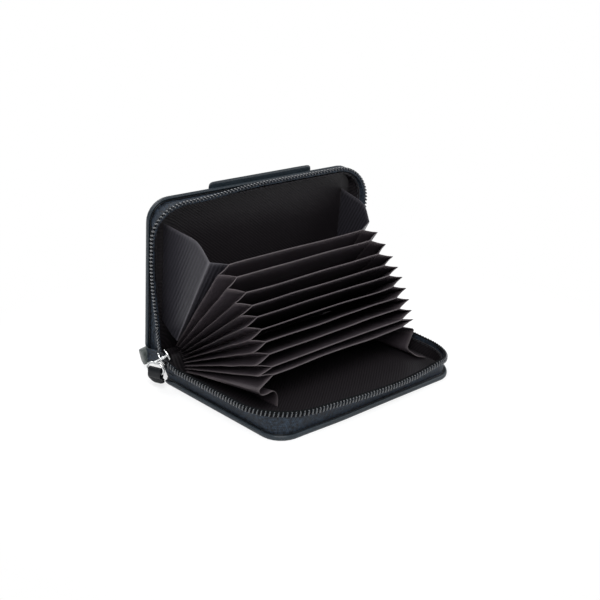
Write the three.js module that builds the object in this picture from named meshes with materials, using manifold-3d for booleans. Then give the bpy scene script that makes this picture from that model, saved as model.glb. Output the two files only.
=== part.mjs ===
// Zip-around accordion card holder, standing open: the lower cover lies on the table and the
// upper cover stands behind it, with ten leaves fanned out between them.
// Millimetres and degrees, +Z up. X runs along the spine, the spine lies towards +Y and the
// mouth towards -Y. The origin is the middle of the lower cover's underside.
import * as THREE from 'three';
import { mergeVertices } from 'three/addons/utils/BufferGeometryUtils.js';
import Module from 'manifold-3d';

// Covers: leather panel, stiffener board and lining, seen from the outside in
const coverWidth = 108;
const coverDepth = 73.4;
const coverCorner = 12;
const spineCorner = 2;
const leatherThick = 1;
const edgeRound = 0.25;
const boardThick = 0.7;
const liningThick = 0.4;
const trayHeight = 10.2;
const layerGap = 0.15;
const fitGap = 0.3;
const spineSetback = 1;

// Piping and zip: the tape rises from the piping and splays outwards to the row of teeth
// and runs round the mouth, from wallStart beside the slider to wallEnd at the other end of the spine
const pipingDiameter = 2.2;
const pipingSides = 8;
const tapeThick = 0.9;
const splaySide = 6.6;
const splayFront = 5.3;
const rimCorner = 22;
const wallStart = 4;
const wallEnd = 8.5;
const lowerNotch = 3;
const upperNotch = 9;
const notchRamp = 5;
const notchLevel = 0.4;
const liningLevel = 0.75;
const toothPitch = 2.2;
const toothLength = 1.3;
const toothFlank = 0.15;
const toothWidth = 2.4;
const toothHeight = 2.1;
const toothTaper = 0.7;
const beadWidth = 1.4;
const beadHeight = 0.9;
const closingGap = 0.5;
const stopLength = 2;
const cornerSteps = 7;
const tangentStep = 1e-4;

// Accordion: leaves, pockets and folded gussets
const leafMargin = 15.5;
const leafLength = 50;
const leafThick = 0.45;
const leafPitch = 1.25;
const rootInset = 4.1;
const creaseReach = 7.2;
const gussetThick = 0.3;
const gussetSeat = 0.22;
const gussetStart = 1;
const noteCrease = 3.45;
const noteFlare = 2.5;
const noteFlareShare = 0.38;
const noteStart = 3;
const noteSeatInset = 4.2;
const noteSeatHeight = 62.7;
const noteSeatStart = 10;
const coinStart = 14;
const coinCurl = 3;
const coinCreaseShare = 0.3;
const coinCurlShare = 0.5;
const coinSeatInset = 12.5;
const backGap = 0.6;

// Folds, as angles of the open pose, the card pockets from the lowest to the topmost
// The soft spine lets the upper cover turn aside by openTwist while it stands open
const openAngle = 84.7;
const openTwist = -6;
const coinAngle = 14.6;
const pocketAngles = [2.2, 4.4, 4.3, 4.5, 4.5, 4.2, 5.2, 7, 5.9];
const foldInset = 2.8;
const foldHeight = 7.2;

// Spine: the strip buckles upwards between the covers while the holder stands open
const spineArch = 2.2;
const spineLiningArch = 2.4;
const spineLiningRise = 3;
const archFoot = 1.4;
const archSteps = 12;

// Flap on the outside of the upper cover
const flapWidth = 50.6;
const flapOffset = 1.9;
const flapHeight = 14;
const flapAbove = 2;
const flapThick = 1.8;

// Slider, ring, pull tab and end tab at the left end of the spine
const sliderLength = 7.2;
const sliderTilt = 37;
const sliderCorner = 1;
const sliderWidth = 6.4;
const sliderNose = 4.6;
const sliderPlate = 1;
const sliderThroat = 2.6;
const sliderOut = 1.5;
const sliderInset = 2.9;
const sliderHeight = 11.7;
const postLength = 2.4;
const postWidth = 1.8;
const bridgeSpan = 5;
const bridgeLift = 0.8;
const bridgeRise = 4.4;
const bridgeThick = 0.9;
const bridgeWidth = 1.4;
const pullTurn = 20;
const ringWire = 1.1;
const ringWidth = 9.4;
const ringHeight = 6.2;
const ringCorner = 2.5;
const ringSides = 8;
const ringCornerSteps = 4;
const tabWidth = 8.4;
const tabNeck = 4;
const tabThick = 2.6;
const tabBlade = 2;
const tabCorner = 1.6;
const tableGap = 0.45;
const endTabLength = 8;
const endTabWidth = 5;
const endTabHeight = 4.2;
const endTabInset = -1;
const endTabBase = -0.7;

// Worked out from the sizes above
const rear = coverDepth / 2;
const wallInset = pipingDiameter + 2 * fitGap;
const wallBase = leatherThick + layerGap;
const teethBase = trayHeight - closingGap / 2 - toothHeight;
const tapeTop = teethBase - layerGap;
const floorInset = wallInset + tapeThick + fitGap;
const boardBase = leatherThick + layerGap;
const liningBase = boardBase + boardThick + layerGap;
const floorTop = liningBase + liningThick;
const closedThickness = 2 * trayHeight;
const leafCount = pocketAngles.length + 1;
const leafWidth = coverWidth - 2 * leafMargin;
const leafStack = (leafCount - 1) * leafPitch;
const compartmentGap = (closedThickness - leafStack - leafThick) / 2 - floorTop;
const coinPivot = new THREE.Vector2(rear - rootInset, floorTop + compartmentGap / 2);
const coverPivot = new THREE.Vector2(rear - foldInset, foldHeight);
const firstLeafLift = (compartmentGap + leafThick) / 2;
const gussetX = leafWidth / 2 + fitGap;

const wasm = await Module();
wasm.setup();

const holder = new THREE.Group();

const leather = new THREE.MeshStandardMaterial({ color: 0x15171b, roughness: 0.5 });
const woven = new THREE.MeshStandardMaterial({ color: 0x14161a, roughness: 0.8 });
const satin = new THREE.MeshStandardMaterial({ color: 0x2a2022, roughness: 0.6 });
const card = new THREE.MeshStandardMaterial({ color: 0x5a5148, roughness: 0.9 });
const teethBlack = new THREE.MeshStandardMaterial({ color: 0x1a1c20, roughness: 0.35, metalness: 0.6 });
const steel = new THREE.MeshStandardMaterial({ color: 0xc9ccd0, roughness: 0.25, metalness: 1 });

function addPart(parent, name, geometry, material) {
  const mesh = new THREE.Mesh(geometry, material);
  mesh.name = name;
  parent.add(mesh);
  return mesh;
}

// A geometry from points and triangles, turned so that its faces point out
function closedGeometry(points, triangles) {
  let volume = 0;
  const cross = new THREE.Vector3();
  for (let i = 0; i < triangles.length; i += 3) {
    cross.crossVectors(points[triangles[i + 1]], points[triangles[i + 2]]);
    volume += points[triangles[i]].dot(cross);
  }
  const outward = volume < 0 ? triangles.slice().reverse() : triangles;
  const geometry = new THREE.BufferGeometry();
  geometry.setAttribute('position', new THREE.Float32BufferAttribute(points.flatMap((p) => p.toArray()), 3));
  geometry.setIndex(outward);
  geometry.computeVertexNormals();
  return geometry;
}

// Triangles of one end of a loft, in the turning sense of its section
function capTriangles(section) {
  const middle = section.reduce((sum, p) => sum.add(p), new THREE.Vector3()).divideScalar(section.length);
  const normal = new THREE.Vector3();
  section.forEach((p, i) => {
    const next = section[(i + 1) % section.length];
    normal.add(p.clone().sub(middle).cross(next.clone().sub(middle)));
  });
  normal.normalize();
  const across = section[1].clone().sub(section[0]).normalize();
  const up = normal.clone().cross(across);
  const flat = section.map((p) => new THREE.Vector2(p.dot(across), p.dot(up)));
  return THREE.ShapeUtils.triangulateShape(flat, []).map(([a, b, c]) => {
    const turn = flat[b].clone().sub(flat[a]).cross(flat[c].clone().sub(flat[a]));
    return turn > 0 ? [a, b, c] : [a, c, b];
  });
}

// A solid through sections of equal count, with flat ends unless the last joins the first
function loft(sections, closed = false) {
  const count = sections[0].length;
  const triangles = [];
  const spans = closed ? sections.length : sections.length - 1;
  for (let s = 0; s < spans; s += 1) {
    const here = s * count;
    const there = ((s + 1) % sections.length) * count;
    for (let i = 0; i < count; i += 1) {
      const next = (i + 1) % count;
      triangles.push(here + i, here + next, there + next, here + i, there + next, there + i);
    }
  }
  if (!closed) {
    const last = (sections.length - 1) * count;
    capTriangles(sections[0]).forEach(([a, b, c]) => triangles.push(a, c, b));
    capTriangles(sections[sections.length - 1]).forEach(([a, b, c]) => {
      triangles.push(last + a, last + b, last + c);
    });
  }
  return closedGeometry(sections.flat(), triangles);
}

// A sheet of even thickness on a grid of points, folded where the grid folds
function sheet(rows, thickness) {
  const high = rows.length;
  const wide = rows[0].length;
  const normals = rows.map((row) => row.map(() => new THREE.Vector3()));
  for (let i = 0; i + 1 < high; i += 1) {
    for (let j = 0; j + 1 < wide; j += 1) {
      const rising = rows[i + 1][j + 1].clone().sub(rows[i][j]);
      const falling = rows[i][j + 1].clone().sub(rows[i + 1][j]);
      const normal = rising.cross(falling).normalize();
      [[i, j], [i + 1, j], [i, j + 1], [i + 1, j + 1]].forEach(([a, b]) => normals[a][b].add(normal));
    }
  }
  const side = (sign) => rows.flatMap((row, i) =>
    row.map((p, j) => p.clone().addScaledVector(normals[i][j].clone().normalize(), (sign * thickness) / 2)));
  const points = [...side(1), ...side(-1)];
  const back = high * wide;
  const at = (i, j) => i * wide + j;
  const triangles = [];
  const quad = (a, b, c, d) => triangles.push(a, b, c, a, c, d);
  for (let i = 0; i + 1 < high; i += 1) {
    for (let j = 0; j + 1 < wide; j += 1) {
      quad(at(i, j), at(i, j + 1), at(i + 1, j + 1), at(i + 1, j));
      quad(back + at(i, j), back + at(i + 1, j), back + at(i + 1, j + 1), back + at(i, j + 1));
    }
  }
  const edge = (a, b) => quad(b, a, back + a, back + b);
  for (let j = 0; j + 1 < wide; j += 1) {
    edge(at(0, j), at(0, j + 1));
    edge(at(high - 1, j + 1), at(high - 1, j));
  }
  for (let i = 0; i + 1 < high; i += 1) {
    edge(at(i + 1, 0), at(i, 0));
    edge(at(i, wide - 1), at(i + 1, wide - 1));
  }
  return closedGeometry(points, triangles);
}

// Boolean join of closed geometries
function join(...geometries) {
  const solids = geometries.map((geometry) => {
    const bare = geometry.clone();
    bare.deleteAttribute('normal');
    bare.deleteAttribute('uv');
    const merged = mergeVertices(bare, 1e-4);
    const vertProperties = Float32Array.from(merged.attributes.position.array);
    const triVerts = Uint32Array.from(merged.index.array);
    return new wasm.Manifold(new wasm.Mesh({ numProp: 3, vertProperties, triVerts }));
  });
  const mesh = solids.reduce((whole, solid) => whole.add(solid)).getMesh();
  const geometry = new THREE.BufferGeometry();
  geometry.setAttribute('position', new THREE.Float32BufferAttribute(mesh.vertProperties, 3));
  geometry.setIndex(Array.from(mesh.triVerts));
  geometry.computeVertexNormals();
  return geometry;
}

// A flat outline in Y and Z, drawn out along X and centred on it
function alongX(shape, width, curveSegments = 6) {
  const geometry = new THREE.ExtrudeGeometry(shape, { depth: width, bevelEnabled: false, curveSegments });
  const turn = new THREE.Matrix4().makeBasis(
    new THREE.Vector3(0, 1, 0),
    new THREE.Vector3(0, 0, 1),
    new THREE.Vector3(1, 0, 0),
  );
  return geometry.translate(0, 0, -width / 2).applyMatrix4(turn);
}

// A plate with round front corners and a straight rear edge, its underside at the given height
function coverPlate(inset, setback, thickness, base, round = 0) {
  const half = coverWidth / 2 - inset;
  const front = coverDepth / 2 - inset;
  const back = rear - setback;
  const radius = coverCorner - inset;
  const shape = new THREE.Shape();
  shape.moveTo(-half + spineCorner, back);
  shape.absarc(-half + spineCorner, back - spineCorner, spineCorner, Math.PI / 2, Math.PI, false);
  shape.absarc(-half + radius, -front + radius, radius, Math.PI, Math.PI * 1.5, false);
  shape.absarc(half - radius, -front + radius, radius, -Math.PI / 2, 0, false);
  shape.absarc(half - spineCorner, back - spineCorner, spineCorner, 0, Math.PI / 2, false);
  const geometry = new THREE.ExtrudeGeometry(shape, {
    depth: thickness - 2 * round,
    bevelEnabled: round > 0,
    bevelSize: round,
    bevelThickness: round,
    bevelOffset: -round,
    bevelSegments: 1,
    curveSegments: cornerSteps,
  });
  return geometry.translate(0, 0, base + round);
}

// The open outline of a cover: down one side, round two corners, up the other side
function sideStation(hand, distance) {
  return (half) => new THREE.Vector2(hand * half, rear - distance);
}

function cornerStation(hand, angle) {
  return (half, front, radius) => new THREE.Vector2(
    hand * (half - radius + radius * Math.cos(angle)),
    -front + radius - radius * Math.sin(angle),
  );
}

function openOutline(startDistances, endDistances, hand) {
  const angles = Array.from({ length: cornerSteps + 1 }, (_, i) => (i / cornerSteps) * (Math.PI / 2));
  return [
    ...startDistances.map((d) => sideStation(hand, d)),
    ...angles.map((a) => cornerStation(hand, a)),
    ...angles.slice().reverse().map((a) => cornerStation(-hand, a)),
    ...endDistances.map((d) => sideStation(-hand, d)),
  ];
}

// A point of the splayed wall: level 0 is its foot and level 1 its top edge
function wallPoint(station, level, depth) {
  const splay = level * level;
  const half = coverWidth / 2 - wallInset - depth + splay * splaySide;
  const front = coverDepth / 2 - wallInset - depth + splay * splayFront;
  const radius = THREE.MathUtils.lerp(coverCorner - wallInset, rimCorner, splay) - depth;
  const flat = station(half, front, radius);
  return new THREE.Vector3(flat.x, flat.y, THREE.MathUtils.lerp(wallBase, tapeTop, level));
}

// The wall is lowered beside the slider, further along the upper cover than along the lower one
const notchEnd = (hand) => wallStart + (hand < 0 ? lowerNotch : upperNotch);

function wallOutline(hand) {
  const rampEnd = notchEnd(hand) + notchRamp;
  const stations = openOutline([wallStart, notchEnd(hand), rampEnd], [wallEnd], hand);
  const tops = stations.map((_, i) => (i < 2 ? notchLevel : 1));
  return { stations, tops };
}

function wallStrip(hand, lowLevel, highLevel, outerDepth, thickness) {
  const { stations, tops } = wallOutline(hand);
  const shares = [0, 0.25, 0.5, 0.75, 1];
  return loft(stations.map((station, i) => {
    const top = Math.min(highLevel, tops[i] * highLevel);
    const levels = shares.map((share) => THREE.MathUtils.lerp(lowLevel, top, share));
    return [
      ...levels.map((level) => wallPoint(station, level, outerDepth)),
      ...levels.slice().reverse().map((level) => wallPoint(station, level, outerDepth + thickness)),
    ];
  }));
}

function piping() {
  const radius = pipingDiameter / 2;
  const height = leatherThick + layerGap + radius;
  const half = coverWidth / 2 - radius;
  const front = coverDepth / 2 - radius;
  const bend = coverCorner - radius;
  const stations = openOutline([spineSetback], [spineSetback], 1);
  const places = stations.map((station) => station(half, front, bend));
  return loft(places.map((place, i) => {
    const before = places[Math.max(i - 1, 0)];
    const after = places[Math.min(i + 1, places.length - 1)];
    const along = after.clone().sub(before).normalize();
    return Array.from({ length: pipingSides }, (_, k) => {
      const angle = (k / pipingSides) * Math.PI * 2;
      const out = radius * Math.cos(angle);
      return new THREE.Vector3(
        place.x + out * along.y,
        place.y - out * along.x,
        height + radius * Math.sin(angle),
      );
    });
  }));
}

// The line of the teeth: a place and a direction at a distance along the wall's top edge
function toothLine(hand) {
  const half = coverWidth / 2 - wallInset - tapeThick / 2 + splaySide;
  const front = coverDepth / 2 - wallInset - tapeThick / 2 + splayFront;
  const radius = rimCorner - tapeThick / 2;
  const startY = rear - notchEnd(hand) - notchRamp - fitGap;
  const endY = rear - wallEnd - stopLength - fitGap;
  const path = new THREE.CurvePath();
  const corner = -front + radius;
  path.add(new THREE.LineCurve(new THREE.Vector2(half, startY), new THREE.Vector2(half, corner)));
  path.add(new THREE.EllipseCurve(half - radius, corner, radius, radius, 0, -Math.PI / 2, true));
  const frontStart = new THREE.Vector2(half - radius, -front);
  const frontEnd = new THREE.Vector2(radius - half, -front);
  path.add(new THREE.LineCurve(frontStart, frontEnd));
  path.add(new THREE.EllipseCurve(radius - half, corner, radius, radius, -Math.PI / 2, -Math.PI, true));
  path.add(new THREE.LineCurve(new THREE.Vector2(-half, corner), new THREE.Vector2(-half, endY)));
  const length = path.getLength();
  const place = (distance) => {
    const share = THREE.MathUtils.clamp(distance / length, 0, 1);
    const point = path.getPoint(share);
    const ahead = path.getPoint(Math.min(share + tangentStep, 1));
    const behind = path.getPoint(Math.max(share - tangentStep, 0));
    const along = ahead.sub(behind).normalize();
    return { point, along };
  };
  return { length, place, hand };
}

function toothSection(line, distance, width, height, taper) {
  const { point, along } = line.place(distance);
  const corner = (out, up) => new THREE.Vector3(
    line.hand * (point.x - out * along.y),
    point.y + out * along.x,
    teethBase + up,
  );
  return [
    corner(-width / 2, 0),
    corner(width / 2, 0),
    corner((taper * width) / 2, height),
    corner((-taper * width) / 2, height),
  ];
}

// Teeth on their bead, as one row
function teethRow(hand) {
  const line = toothLine(hand);
  const count = Math.floor((line.length - toothLength) / toothPitch);
  const sections = [toothSection(line, 0, beadWidth, beadHeight, 1)];
  for (let i = 0; i < count; i += 1) {
    const start = (i + 0.5) * toothPitch - toothLength / 2;
    const end = start + toothLength;
    sections.push(toothSection(line, start, beadWidth, beadHeight, 1));
    sections.push(toothSection(line, start + toothFlank, toothWidth, toothHeight, toothTaper));
    sections.push(toothSection(line, end - toothFlank, toothWidth, toothHeight, toothTaper));
    sections.push(toothSection(line, end, beadWidth, beadHeight, 1));
  }
  sections.push(toothSection(line, line.length, beadWidth, beadHeight, 1));
  return loft(sections);
}

// The clip that ends the row on the side without the slider
function topStop(hand) {
  const middle = coverWidth / 2 - wallInset - tapeThick / 2 + splaySide;
  const shape = new THREE.Shape();
  const half = toothWidth / 2;
  shape.moveTo(-half, 0);
  shape.lineTo(half, 0);
  shape.lineTo(half * toothTaper, toothHeight);
  shape.lineTo(-half * toothTaper, toothHeight);
  const geometry = new THREE.ExtrudeGeometry(shape, { depth: stopLength, bevelEnabled: false });
  geometry.rotateX(Math.PI / 2);
  return geometry.translate(-hand * middle, rear - wallEnd, teethBase);
}

function lining(hand) {
  const lowLevel = (liningBase - wallBase) / (tapeTop - wallBase);
  const floor = coverPlate(floorInset, spineSetback, liningThick, liningBase);
  const lip = wallStrip(hand, lowLevel, liningLevel, tapeThick + fitGap, liningThick);
  return join(floor, lip);
}

// One cover with its zip half. The hand says which side the slider's notch is on.
function addTray(parent, name, hand) {
  addPart(parent, `${name}_cover`, coverPlate(0, 0, leatherThick, 0, edgeRound), leather);
  addPart(parent, `${name}_board`, coverPlate(floorInset, spineSetback, boardThick, boardBase), card);
  addPart(parent, `${name}_lining`, lining(hand), satin);
  addPart(parent, `${name}_piping`, piping(), leather);
  addPart(parent, `${name}_zip_tape`, wallStrip(hand, 0, 1, 0, tapeThick), woven);
  addPart(parent, `${name}_teeth`, teethRow(hand), teethBlack);
  addPart(parent, `${name}_top_stop`, topStop(hand), steel);
}

// The folded flap, drawn out along X with its fold above the cover's top edge
function flap() {
  const radius = flapThick / 2;
  const shape = new THREE.Shape();
  const top = -coverDepth / 2 - flapAbove;
  shape.moveTo(top + flapAbove + flapHeight, 0);
  shape.lineTo(top + flapAbove + flapHeight, -flapThick);
  shape.lineTo(top + radius, -flapThick);
  shape.absarc(top + radius, -radius, radius, -Math.PI / 2, -Math.PI * 1.5, true);
  return alongX(shape, flapWidth).translate(-flapOffset, 0, -fitGap);
}

function endTab() {
  const shape = new THREE.Shape();
  const bend = endTabHeight / 2;
  const far = rear - endTabInset - endTabLength;
  shape.moveTo(rear - endTabInset - bend, endTabBase);
  shape.absarc(rear - endTabInset - bend, endTabBase + bend, bend, -Math.PI / 2, Math.PI / 2, false);
  shape.absarc(far + bend, endTabBase + bend, bend, Math.PI / 2, Math.PI * 1.5, false);
  return alongX(shape, endTabWidth).translate(coverWidth / 2 + fitGap + endTabWidth / 2, 0, 0);
}

// Lower cover, and upper cover turned over and opened about the cover fold
const lowerTray = new THREE.Group();
addTray(lowerTray, 'lower', -1);
holder.add(lowerTray);

const coverFold = new THREE.Group();
coverFold.position.set(0, coverPivot.x, coverPivot.y);
const opened = THREE.MathUtils.degToRad(openAngle);
const twisted = THREE.MathUtils.degToRad(openTwist);
coverFold.rotation.set(-opened, 0, twisted, 'ZXY');
const upperTray = new THREE.Group();
upperTray.position.set(0, -coverPivot.x, closedThickness - coverPivot.y);
upperTray.rotation.y = Math.PI;
addTray(upperTray, 'upper', 1);
addPart(upperTray, 'back_flap', flap(), leather);
addPart(upperTray, 'zip_end_tab', endTab(), leather);
coverFold.add(upperTray);
holder.add(coverFold);
holder.updateMatrixWorld(true);

const onUpperTray = (x, y, z) => upperTray.localToWorld(new THREE.Vector3(x, y, z));

// Leaves, each turned about the fold at its root
function leafPlate() {
  const half = leafThick / 2;
  const shape = new THREE.Shape();
  shape.moveTo(0, -half);
  shape.lineTo(0, half);
  shape.lineTo(-leafLength + half, half);
  shape.absarc(-leafLength + half, 0, half, Math.PI / 2, Math.PI * 1.5, false);
  return alongX(shape, leafWidth, 4);
}

const number = (k) => String(k).padStart(2, '0');
const leaves = [];
let carrier = holder;
for (let k = 1; k <= leafCount; k += 1) {
  const fold = new THREE.Group();
  if (k === 1) {
    fold.position.set(0, coinPivot.x, coinPivot.y);
    fold.rotation.x = -THREE.MathUtils.degToRad(coinAngle);
  } else {
    fold.position.set(0, 0, (k === 2 ? firstLeafLift : leafPitch / 2) + leafPitch / 2);
    fold.rotation.x = -THREE.MathUtils.degToRad(pocketAngles[k - 2]);
  }
  const lift = k === 1 ? firstLeafLift : leafPitch / 2;
  addPart(fold, `leaf_${number(k)}`, leafPlate(), satin).position.z = lift;
  carrier.add(fold);
  carrier = fold;
  leaves.push({ fold, lift });
}
holder.updateMatrixWorld(true);

// A point beside a leaf: its distance from the root and its height over the leaf's middle plane
function onLeaf(k, x, distance, height) {
  const { fold, lift } = leaves[k - 1];
  return fold.localToWorld(new THREE.Vector3(x, -distance, lift + height));
}

// The V-folded gusset at one end of a card pocket, between leaf k and the next one
function pocketGusset(k, side) {
  const halfPocket = THREE.MathUtils.degToRad(pocketAngles[k - 1] / 2);
  const tipHalf = leafPitch / 2 - gussetSeat + leafLength * Math.sin(halfPocket);
  const facetWidth = Math.hypot(creaseReach, tipHalf);
  return sheet([gussetStart, leafLength].map((distance) => {
    const low = onLeaf(k, side * gussetX, distance, gussetSeat);
    const high = onLeaf(k + 1, side * gussetX, distance, -gussetSeat);
    const crease = low.clone().lerp(high, 0.5);
    const half = low.distanceTo(high) / 2;
    crease.x += side * (Math.sqrt(facetWidth * facetWidth - half * half) - fitGap);
    return [low, crease, high];
  }), gussetThick);
}

// The gusset of the note compartment: one facet to its crease, then a panel to the upper lining
function noteGusset(side) {
  const creaseTurn = Math.tan(THREE.MathUtils.degToRad(noteCrease));
  const seatX = -side * (coverWidth / 2 - floorInset - noteSeatInset);
  const seatZ = floorTop + gussetThick;
  const row = (distance, seatHeight, flare) => {
    const low = onLeaf(leafCount, side * gussetX, distance, gussetSeat);
    const creaseX = side * (leafWidth / 2 + creaseReach);
    const crease = onLeaf(leafCount, creaseX, distance, distance * creaseTurn + gussetSeat);
    const seat = onUpperTray(seatX, rear - seatHeight, seatZ);
    const bend = crease.clone().lerp(seat, noteFlareShare);
    bend.x = crease.x;
    const out = crease.clone().sub(onLeaf(leafCount, crease.x, 0, 0)).normalize();
    bend.addScaledVector(out, flare);
    return [low, crease, bend, seat];
  };
  return sheet([row(noteStart, noteSeatStart, 0), row(leafLength, noteSeatHeight, noteFlare)], gussetThick);
}

// The gusset of the coin compartment: an outward crease, a soft curl and a seat on the lower lining
function coinGusset(side) {
  const seatX = side * (coverWidth / 2 - floorInset - coinSeatInset);
  const outX = side * (leafWidth / 2 + creaseReach);
  return sheet([coinStart, leafLength].map((distance) => {
    const low = onLeaf(1, side * gussetX, distance, -gussetSeat);
    const floor = new THREE.Vector3(seatX, low.y, floorTop + gussetThick);
    const place = (x, share) => new THREE.Vector3(x, low.y, THREE.MathUtils.lerp(low.z, floor.z, share));
    const curlX = seatX + side * coinCurl;
    return [low, place(outX, coinCreaseShare), place(curlX, coinCurlShare), floor];
  }), gussetThick);
}

for (const [label, side] of [['left', -1], ['right', 1]]) {
  for (let k = 1; k < leafCount; k += 1) {
    addPart(holder, `pocket_gusset_${number(k)}_${label}`, pocketGusset(k, side), satin);
  }
  addPart(holder, `note_gusset_${label}`, noteGusset(side), satin);
  addPart(holder, `coin_gusset_${label}`, coinGusset(side), satin);
}

// The strip behind the roots of the leaves, from the lower lining to the upper one
function accordionBack() {
  const half = leafWidth / 2;
  return sheet([-half, half].map((x) => {
    const foot = new THREE.Vector3(x, coinPivot.x + backGap, floorTop + gussetThick);
    const roots = leaves.map((_, i) => onLeaf(i + 1, x, -backGap, 0));
    const head = onUpperTray(-x, rear - noteSeatStart, floorTop + gussetThick);
    return [foot, ...roots, head];
  }), gussetThick);
}
addPart(holder, 'accordion_back', accordionBack(), satin);

// Spine strips: a raised-cosine arch between two flat feet, from a line on the lower tray to one on the upper
function spineStrip(lowLine, highLine, arch, thickness, width) {
  const half = width / 2;
  return sheet([-half, half].map((x) => {
    const low = lowLine(x);
    const high = highLine(x);
    const foot = archFoot / low.distanceTo(high);
    const place = (share, rise) => {
      const point = low.clone().lerp(high, share);
      point.z += rise;
      return point;
    };
    const arched = Array.from({ length: archSteps + 1 }, (_, i) => {
      const rise = (arch / 2) * (1 - Math.cos((2 * Math.PI * i) / archSteps));
      return place(THREE.MathUtils.lerp(foot, 1 - foot, i / archSteps), rise);
    });
    return [place(0, 0), ...arched, place(1, 0)];
  }), thickness);
}

const strapLow = leatherThick / 2 + edgeRound;
addPart(holder, 'spine_leather', spineStrip(
  (x) => new THREE.Vector3(x, rear + fitGap, strapLow),
  (x) => onUpperTray(-x, rear, leatherThick).add(new THREE.Vector3(0, -fitGap, -fitGap)),
  spineArch,
  leatherThick,
  coverWidth - 2 * spineCorner,
), leather);
addPart(holder, 'spine_lining', spineStrip(
  (x) => new THREE.Vector3(x, rear - spineSetback + fitGap, liningBase + liningThick / 2),
  (x) => onUpperTray(-x, rear - spineLiningRise, floorTop + fitGap + liningThick),
  spineLiningArch,
  liningThick,
  coverWidth - 2 * floorInset,
), satin);

// Slider: two plates with a post between them, at the left end of the spine
const sliderMiddle = new THREE.Vector3(-coverWidth / 2 - sliderOut, rear - sliderInset, sliderHeight);

function sliderPlateAt(offset) {
  const top = sliderLength / 2;
  const bend = sliderNose / 2;
  const shape = new THREE.Shape();
  const half = sliderWidth / 2;
  shape.moveTo(-half, top - sliderCorner);
  shape.quadraticCurveTo(-half, top, -half + sliderCorner, top);
  shape.lineTo(half - sliderCorner, top);
  shape.quadraticCurveTo(half, top, half, top - sliderCorner);
  shape.lineTo(bend, -top + bend);
  shape.absarc(0, -top + bend, bend, 0, -Math.PI, true);
  return alongX(shape, sliderPlate).translate(offset, 0, 0);
}

function slider() {
  const reach = (sliderThroat + sliderPlate) / 2;
  const post = new THREE.BoxGeometry(sliderThroat + sliderPlate, postWidth, postLength);
  post.translate(0, 0, sliderLength / 2 - postLength / 2 - sliderPlate / 2);
  return join(sliderPlateAt(-reach), sliderPlateAt(reach), post);
}

// Bridge: an arch standing on the outer plate, whose tunnel runs along Y and holds the ring
function bridge() {
  const half = bridgeSpan / 2;
  const inner = bridgeRise - bridgeThick;
  const shape = new THREE.Shape();
  shape.moveTo(0, half);
  shape.lineTo(-inner, half);
  shape.quadraticCurveTo(-bridgeRise, half, -bridgeRise, half - bridgeThick);
  shape.lineTo(-bridgeRise, -half + bridgeThick);
  shape.quadraticCurveTo(-bridgeRise, -half, -inner, -half);
  shape.lineTo(0, -half);
  shape.lineTo(0, -half + bridgeThick);
  shape.lineTo(-inner, -half + bridgeThick);
  shape.lineTo(-inner, half - bridgeThick);
  shape.lineTo(0, half - bridgeThick);
  const geometry = new THREE.ExtrudeGeometry(shape, {
    depth: bridgeWidth,
    bevelEnabled: false,
    curveSegments: 3,
  });
  geometry.translate(0, 0, -bridgeWidth / 2);
  return geometry.rotateX(Math.PI / 2);
}

const sliderGroup = new THREE.Group();
sliderGroup.position.copy(sliderMiddle);
const sliderTurn = THREE.MathUtils.degToRad(sliderTilt);
addPart(sliderGroup, 'slider', slider(), steel).rotation.x = sliderTurn;
const bridgeSeat = -sliderThroat / 2 - sliderPlate - layerGap;
addPart(sliderGroup, 'slider_bridge', bridge(), steel).position.set(bridgeSeat, 0, bridgeLift);

// Ring: a round-cornered wire loop that hangs in the bridge
function ring() {
  const half = (ringWidth - ringWire) / 2;
  const drop = ringHeight - ringWire;
  const loop = new THREE.Shape();
  loop.moveTo(half, -ringCorner);
  loop.absarc(half - ringCorner, -ringCorner, ringCorner, 0, Math.PI / 2, false);
  loop.absarc(-half + ringCorner, -ringCorner, ringCorner, Math.PI / 2, Math.PI, false);
  loop.absarc(-half + ringCorner, -drop + ringCorner, ringCorner, Math.PI, Math.PI * 1.5, false);
  loop.absarc(half - ringCorner, -drop + ringCorner, ringCorner, Math.PI * 1.5, Math.PI * 2, false);
  const places = loop.getPoints(ringCornerSteps).slice(0, -1);
  return loft(places.map((place, i) => {
    const before = places[(i + places.length - 1) % places.length];
    const after = places[(i + 1) % places.length];
    const along = after.clone().sub(before).normalize();
    return Array.from({ length: ringSides }, (_, k) => {
      const angle = (k / ringSides) * Math.PI * 2;
      const out = (ringWire / 2) * Math.cos(angle);
      return new THREE.Vector3(
        (ringWire / 2) * Math.sin(angle),
        place.x + out * along.y,
        place.y - out * along.x,
      );
    });
  }), true);
}

// The ring rests on the bridge's lower leg, turned towards the mouth
const ringRest = bridgeLift - bridgeSpan / 2 + bridgeThick + ringWire / 2 + layerGap;
const ringGroup = new THREE.Group();
ringGroup.position.set(bridgeSeat - (bridgeRise - bridgeThick) / 2, 0, ringRest);
ringGroup.rotation.z = THREE.MathUtils.degToRad(pullTurn);
addPart(ringGroup, 'pull_ring', ring(), steel);

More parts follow.
